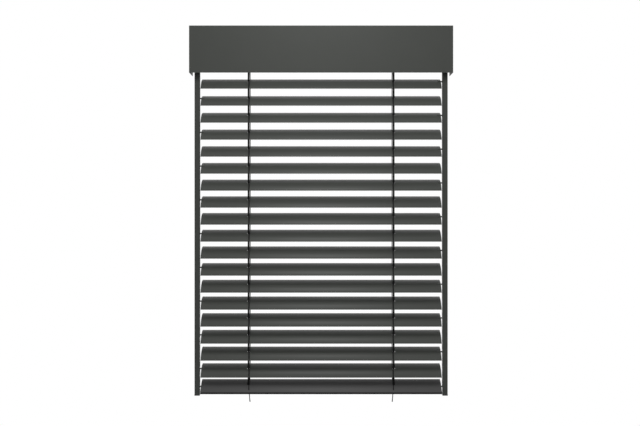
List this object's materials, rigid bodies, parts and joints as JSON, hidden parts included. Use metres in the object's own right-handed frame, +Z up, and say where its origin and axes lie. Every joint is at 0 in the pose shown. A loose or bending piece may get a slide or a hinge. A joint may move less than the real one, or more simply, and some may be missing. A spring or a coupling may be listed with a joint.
{
  "type": "exterior venetian blind",
  "caption": "Exterior venetian blind: curved slats with rolled edges hang on ladder cords and lift tapes between guide rails, below a folded cover panel that hides the motor headrail.",
  "frame": {"origin": "on the wall plane, in the middle of the four head fixing holes", "axes": "+X along the slats, +Y into the wall, +Z up"},
  "size_m": [1.112, 0.0911, 1.5947],
  "materials": {
    "coated_aluminium": "satin powder coat, anthracite grey",
    "galvanised_steel": "galvanised",
    "motor_housing": "plain die-cast",
    "pin_plastic": "matte, dark grey",
    "black_plastic": "matte, black",
    "lining_plastic": "matte, black",
    "black_textile": "woven, black"
  },
  "bodies": {
    "frame": {"headrail": "galvanised_steel", "headrail_brackets": "galvanised_steel", "cover_panel": "coated_aluminium", "end_plate_left": "coated_aluminium", "end_plate_right": "coated_aluminium", "guide_rail_left": "coated_aluminium", "guide_rail_right": "coated_aluminium", "rail_lining_left": "lining_plastic", "rail_lining_right": "lining_plastic", "rail_brackets": "coated_aluminium", "drive_motor": "motor_housing", "cord_bearings": "black_plastic", "lift_tape_left": "black_textile", "lift_tape_right": "black_textile", "ladder_cord_left": "black_textile", "ladder_cord_right": "black_textile"},
    "drive": {"drive_shaft": "galvanised_steel", "winding_drum_left": "black_plastic", "winding_drum_right": "black_plastic"},
    "pin_01": {"guide_pin_01": "pin_plastic"},
    "slat_01": {"slat_01": "coated_aluminium"},
    "pin_02": {"guide_pin_02": "pin_plastic"},
    "slat_02": {"slat_02": "coated_aluminium"},
    "pin_03": {"guide_pin_03": "pin_plastic"},
    "slat_03": {"slat_03": "coated_aluminium"},
    "pin_04": {"guide_pin_04": "pin_plastic"},
    "slat_04": {"slat_04": "coated_aluminium"},
    "pin_05": {"guide_pin_05": "pin_plastic"},
    "slat_05": {"slat_05": "coated_aluminium"},
    "pin_06": {"guide_pin_06": "pin_plastic"},
    "slat_06": {"slat_06": "coated_aluminium"},
    "pin_07": {"guide_pin_07": "pin_plastic"},
    "slat_07": {"slat_07": "coated_aluminium"},
    "pin_08": {"guide_pin_08": "pin_plastic"},
    "slat_08": {"slat_08": "coated_aluminium"},
    "pin_09": {"guide_pin_09": "pin_plastic"},
    "slat_09": {"slat_09": "coated_aluminium"},
    "pin_10": {"guide_pin_10": "pin_plastic"},
    "slat_10": {"slat_10": "coated_aluminium"},
    "pin_11": {"guide_pin_11": "pin_plastic"},
    "slat_11": {"slat_11": "coated_aluminium"},
    "pin_12": {"guide_pin_12": "pin_plastic"},
    "slat_12": {"slat_12": "coated_aluminium"},
    "pin_13": {"guide_pin_13": "pin_plastic"},
    "slat_13": {"slat_13": "coated_aluminium"},
    "pin_14": {"guide_pin_14": "pin_plastic"},
    "slat_14": {"slat_14": "coated_aluminium"},
    "pin_15": {"guide_pin_15": "pin_plastic"},
    "slat_15": {"slat_15": "coated_aluminium"},
    "pin_16": {"guide_pin_16": "pin_plastic"},
    "slat_16": {"slat_16": "coated_aluminium"},
    "pin_17": {"guide_pin_17": "pin_plastic"},
    "slat_17": {"slat_17": "coated_aluminium"},
    "pin_18": {"guide_pin_18": "pin_plastic"},
    "slat_18": {"slat_18": "coated_aluminium"},
    "rail_pins": {"bottom_rail_pins": "pin_plastic"},
    "bottom_rail": {"bottom_rail": "coated_aluminium", "bottom_rail_caps": "black_plastic", "cord_tail_left": "black_textile", "cord_tail_right": "black_textile"}
  },
  "joints": [
    {"name": "slat_01_lift", "type": "slide", "parent": "frame", "child": "pin_01", "axis": [0, 0, 1], "range_m": [0, 0.155], "deforming": ["lift_tape_left", "lift_tape_right", "ladder_cord_left", "ladder_cord_right"]},
    {"name": "slat_02_lift", "type": "slide", "parent": "pin_01", "child": "pin_02", "axis": [0, 0, 1], "range_m": [0, 0.0655]},
    {"name": "slat_03_lift", "type": "slide", "parent": "pin_02", "child": "pin_03", "axis": [0, 0, 1], "range_m": [0, 0.0655]},
    {"name": "slat_04_lift", "type": "slide", "parent": "pin_03", "child": "pin_04", "axis": [0, 0, 1], "range_m": [0, 0.0655]},
    {"name": "slat_05_lift", "type": "slide", "parent": "pin_04", "child": "pin_05", "axis": [0, 0, 1], "range_m": [0, 0.0655]},
    {"name": "slat_06_lift", "type": "slide", "parent": "pin_05", "child": "pin_06", "axis": [0, 0, 1], "range_m": [0, 0.0655]},
    {"name": "slat_07_lift", "type": "slide", "parent": "pin_06", "child": "pin_07", "axis": [0, 0, 1], "range_m": [0, 0.0655]},
    {"name": "slat_08_lift", "type": "slide", "parent": "pin_07", "child": "pin_08", "axis": [0, 0, 1], "range_m": [0, 0.0655]},
    {"name": "slat_09_lift", "type": "slide", "parent": "pin_08", "child": "pin_09", "axis": [0, 0, 1], "range_m": [0, 0.0655]},
    {"name": "slat_10_lift", "type": "slide", "parent": "pin_09", "child": "pin_10", "axis": [0, 0, 1], "range_m": [0, 0.0655]},
    {"name": "slat_11_lift", "type": "slide", "parent": "pin_10", "child": "pin_11", "axis": [0, 0, 1], "range_m": [0, 0.0655]},
    {"name": "slat_12_lift", "type": "slide", "parent": "pin_11", "child": "pin_12", "axis": [0, 0, 1], "range_m": [0, 0.0655]},
    {"name": "slat_13_lift", "type": "slide", "parent": "pin_12", "child": "pin_13", "axis": [0, 0, 1], "range_m": [0, 0.0655]},
    {"name": "slat_14_lift", "type": "slide", "parent": "pin_13", "child": "pin_14", "axis": [0, 0, 1], "range_m": [0, 0.0655]},
    {"name": "slat_15_lift", "type": "slide", "parent": "pin_14", "child": "pin_15", "axis": [0, 0, 1], "range_m": [0, 0.0655]},
    {"name": "slat_16_lift", "type": "slide", "parent": "pin_15", "child": "pin_16", "axis": [0, 0, 1], "range_m": [0, 0.0655]},
    {"name": "slat_17_lift", "type": "slide", "parent": "pin_16", "child": "pin_17", "axis": [0, 0, 1], "range_m": [0, 0.0655]},
    {"name": "slat_18_lift", "type": "slide", "parent": "pin_17", "child": "pin_18", "axis": [0, 0, 1], "range_m": [0, 0.0655]},
    {"name": "bottom_rail_lift", "type": "slide", "parent": "pin_18", "child": "rail_pins", "axis": [0, 0, 1], "range_m": [0, 0.048]},
    {"name": "bottom_rail_tilt", "type": "hinge", "parent": "rail_pins", "child": "bottom_rail", "pos_m": [0, -0.04457, -1.491], "axis": [-1, 0, 0], "range_deg": [-35.6, 36.4]},
    {"name": "slat_01_tilt", "type": "hinge", "parent": "pin_01", "child": "slat_01", "pos_m": [0, -0.04457, -0.191], "axis": [-1, 0, 0], "range_deg": [-36.2, 37]},
    {"name": "slat_02_tilt", "type": "hinge", "parent": "pin_02", "child": "slat_02", "pos_m": [0, -0.04457, -0.263], "axis": [-1, 0, 0], "range_deg": [-36.2, 37]},
    {"name": "slat_03_tilt", "type": "hinge", "parent": "pin_03", "child": "slat_03", "pos_m": [0, -0.04457, -0.335], "axis": [-1, 0, 0], "range_deg": [-36.2, 37]},
    {"name": "slat_04_tilt", "type": "hinge", "parent": "pin_04", "child": "slat_04", "pos_m": [0, -0.04457, -0.407], "axis": [-1, 0, 0], "range_deg": [-36.2, 37]},
    {"name": "slat_05_tilt", "type": "hinge", "parent": "pin_05", "child": "slat_05", "pos_m": [0, -0.04457, -0.479], "axis": [-1, 0, 0], "range_deg": [-36.2, 37]},
    {"name": "slat_06_tilt", "type": "hinge", "parent": "pin_06", "child": "slat_06", "pos_m": [0, -0.04457, -0.551], "axis": [-1, 0, 0], "range_deg": [-36.2, 37]},
    {"name": "slat_07_tilt", "type": "hinge", "parent": "pin_07", "child": "slat_07", "pos_m": [0, -0.04457, -0.623], "axis": [-1, 0, 0], "range_deg": [-36.2, 37]},
    {"name": "slat_08_tilt", "type": "hinge", "parent": "pin_08", "child": "slat_08", "pos_m": [0, -0.04457, -0.695], "axis": [-1, 0, 0], "range_deg": [-36.2, 37]},
    {"name": "slat_09_tilt", "type": "hinge", "parent": "pin_09", "child": "slat_09", "pos_m": [0, -0.04457, -0.767], "axis": [-1, 0, 0], "range_deg": [-36.2, 37]},
    {"name": "slat_10_tilt", "type": "hinge", "parent": "pin_10", "child": "slat_10", "pos_m": [0, -0.04457, -0.839], "axis": [-1, 0, 0], "range_deg": [-36.2, 37]},
    {"name": "slat_11_tilt", "type": "hinge", "parent": "pin_11", "child": "slat_11", "pos_m": [0, -0.04457, -0.911], "axis": [-1, 0, 0], "range_deg": [-36.2, 37]},
    {"name": "slat_12_tilt", "type": "hinge", "parent": "pin_12", "child": "slat_12", "pos_m": [0, -0.04457, -0.983], "axis": [-1, 0, 0], "range_deg": [-36.2, 37]},
    {"name": "slat_13_tilt", "type": "hinge", "parent": "pin_13", "child": "slat_13", "pos_m": [0, -0.04457, -1.055], "axis": [-1, 0, 0], "range_deg": [-36.2, 37]},
    {"name": "slat_14_tilt", "type": "hinge", "parent": "pin_14", "child": "slat_14", "pos_m": [0, -0.04457, -1.127], "axis": [-1, 0, 0], "range_deg": [-36.2, 37]},
    {"name": "slat_15_tilt", "type": "hinge", "parent": "pin_15", "child": "slat_15", "pos_m": [0, -0.04457, -1.199], "axis": [-1, 0, 0], "range_deg": [-36.2, 37]},
    {"name": "slat_16_tilt", "type": "hinge", "parent": "pin_16", "child": "slat_16", "pos_m": [0, -0.04457, -1.271], "axis": [-1, 0, 0], "range_deg": [-36.2, 37]},
    {"name": "slat_17_tilt", "type": "hinge", "parent": "pin_17", "child": "slat_17", "pos_m": [0, -0.04457, -1.343], "axis": [-1, 0, 0], "range_deg": [-36.2, 37]},
    {"name": "slat_18_tilt", "type": "hinge", "parent": "pin_18", "child": "slat_18", "pos_m": [0, -0.04457, -1.415], "axis": [-1, 0, 0], "range_deg": [-36.2, 37]},
    {"name": "drive_turn", "type": "hinge", "parent": "frame", "child": "drive", "pos_m": [0, -0.04457, 0.009], "axis": [-1, 0, 0], "range_deg": [-62, 64]}
  ],
  "couplings": [
    {"joint": "slat_01_tilt", "follows": "bottom_rail_tilt", "ratio": 1},
    {"joint": "slat_02_tilt", "follows": "bottom_rail_tilt", "ratio": 1},
    {"joint": "slat_03_tilt", "follows": "bottom_rail_tilt", "ratio": 1},
    {"joint": "slat_04_tilt", "follows": "bottom_rail_tilt", "ratio": 1},
    {"joint": "slat_05_tilt", "follows": "bottom_rail_tilt", "ratio": 1},
    {"joint": "slat_06_tilt", "follows": "bottom_rail_tilt", "ratio": 1},
    {"joint": "slat_07_tilt", "follows": "bottom_rail_tilt", "ratio": 1},
    {"joint": "slat_08_tilt", "follows": "bottom_rail_tilt", "ratio": 1},
    {"joint": "slat_09_tilt", "follows": "bottom_rail_tilt", "ratio": 1},
    {"joint": "slat_10_tilt", "follows": "bottom_rail_tilt", "ratio": 1},
    {"joint": "slat_11_tilt", "follows": "bottom_rail_tilt", "ratio": 1},
    {"joint": "slat_12_tilt", "follows": "bottom_rail_tilt", "ratio": 1},
    {"joint": "slat_13_tilt", "follows": "bottom_rail_tilt", "ratio": 1},
    {"joint": "slat_14_tilt", "follows": "bottom_rail_tilt", "ratio": 1},
    {"joint": "slat_15_tilt", "follows": "bottom_rail_tilt", "ratio": 1},
    {"joint": "slat_16_tilt", "follows": "bottom_rail_tilt", "ratio": 1},
    {"joint": "slat_17_tilt", "follows": "bottom_rail_tilt", "ratio": 1},
    {"joint": "slat_18_tilt", "follows": "bottom_rail_tilt", "ratio": 1},
    {"joint": "drive_turn", "follows": "bottom_rail_tilt", "ratio": 1.68}
  ]
}
